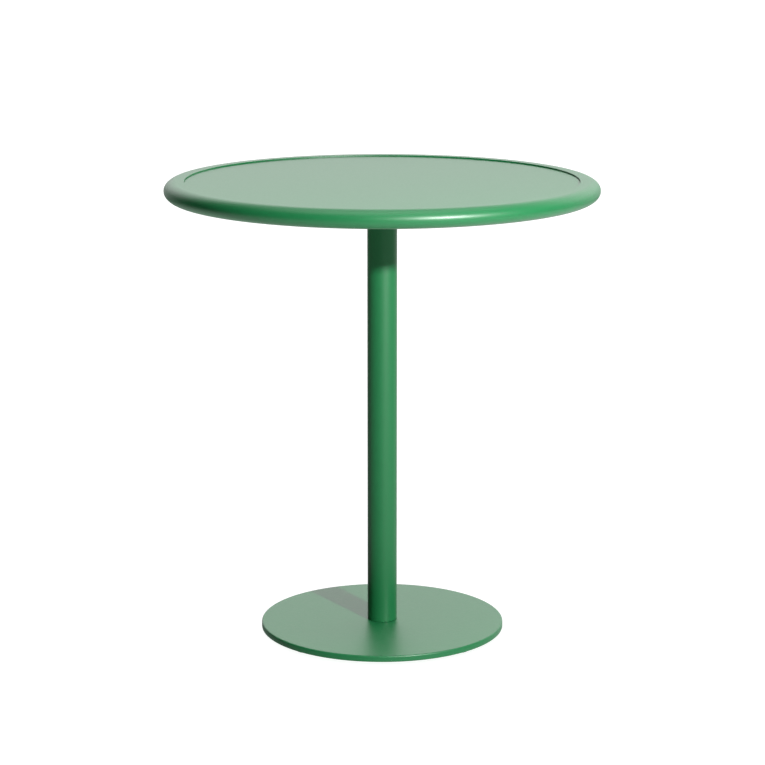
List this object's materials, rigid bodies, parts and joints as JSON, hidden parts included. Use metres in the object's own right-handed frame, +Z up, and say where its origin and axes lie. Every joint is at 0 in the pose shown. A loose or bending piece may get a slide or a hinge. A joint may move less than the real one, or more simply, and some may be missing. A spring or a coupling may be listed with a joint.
{
  "type": "bistro table",
  "caption": "Round pedestal bistro table: a top with a thick rounded rim round a slightly sunk panel, a plain tube column and a flat disc base on levelling glides.",
  "frame": {"origin": "on the column's axis, on the floor that the glide pads stand on", "axes": "+Z up along the column; +X to the right and +Y to the back, seen from the front"},
  "size_m": [0.7, 0.7, 0.75],
  "materials": {
    "green_coat_aluminium": "smooth satin powder coat, mid green",
    "green_coat_steel": "smooth satin powder coat, mid green",
    "zinc_steel": "bright zinc plate",
    "black_nylon": "moulded, fine matt grain"
  },
  "bodies": {
    "table": {"rim_frame": "green_coat_aluminium", "top_panel": "green_coat_aluminium", "beam_long": "green_coat_aluminium", "beam_short_front": "green_coat_aluminium", "beam_short_rear": "green_coat_aluminium", "rim_weld_beads": "green_coat_aluminium", "beam_weld_beads": "green_coat_aluminium", "rivet_nuts": "zinc_steel", "head_flange": "green_coat_steel", "head_weld_bead": "green_coat_steel", "head_screws": "zinc_steel", "head_washers": "zinc_steel", "column_tube": "green_coat_steel", "foot_plug": "green_coat_steel", "base_plate": "green_coat_steel", "foot_screws": "zinc_steel"},
    "glide_1_pad": {"glide_1_pad": "black_nylon"},
    "glide_1_stem": {"glide_1_stem": "zinc_steel"},
    "glide_2_pad": {"glide_2_pad": "black_nylon"},
    "glide_2_stem": {"glide_2_stem": "zinc_steel"},
    "glide_3_pad": {"glide_3_pad": "black_nylon"},
    "glide_3_stem": {"glide_3_stem": "zinc_steel"},
    "glide_4_pad": {"glide_4_pad": "black_nylon"},
    "glide_4_stem": {"glide_4_stem": "zinc_steel"}
  },
  "joints": [
    {"name": "glide_1_travel", "type": "slide", "parent": "table", "child": "glide_1_pad", "axis": [0, 0, -1], "range_m": [0, 0.004]},
    {"name": "glide_1_turn", "type": "hinge", "parent": "glide_1_pad", "child": "glide_1_stem", "pos_m": [0.12374, 0.12374, 0.005], "axis": [0, 0, -1], "range_deg": [0, 1152]},
    {"name": "glide_2_travel", "type": "slide", "parent": "table", "child": "glide_2_pad", "axis": [0, 0, -1], "range_m": [0, 0.004]},
    {"name": "glide_2_turn", "type": "hinge", "parent": "glide_2_pad", "child": "glide_2_stem", "pos_m": [-0.12374, 0.12374, 0.005], "axis": [0, 0, -1], "range_deg": [0, 1152]},
    {"name": "glide_3_travel", "type": "slide", "parent": "table", "child": "glide_3_pad", "axis": [0, 0, -1], "range_m": [0, 0.004]},
    {"name": "glide_3_turn", "type": "hinge", "parent": "glide_3_pad", "child": "glide_3_stem", "pos_m": [-0.12374, -0.12374, 0.005], "axis": [0, 0, -1], "range_deg": [0, 1152]},
    {"name": "glide_4_travel", "type": "slide", "parent": "table", "child": "glide_4_pad", "axis": [0, 0, -1], "range_m": [0, 0.004]},
    {"name": "glide_4_turn", "type": "hinge", "parent": "glide_4_pad", "child": "glide_4_stem", "pos_m": [0.12374, -0.12374, 0.005], "axis": [0, 0, -1], "range_deg": [0, 1152]}
  ],
  "couplings": [
    {"joint": "glide_1_turn", "follows": "glide_1_travel", "rad_per_m": 5026.5},
    {"joint": "glide_2_turn", "follows": "glide_2_travel", "rad_per_m": 5026.5},
    {"joint": "glide_3_turn", "follows": "glide_3_travel", "rad_per_m": 5026.5},
    {"joint": "glide_4_turn", "follows": "glide_4_travel", "rad_per_m": 5026.5}
  ]
}
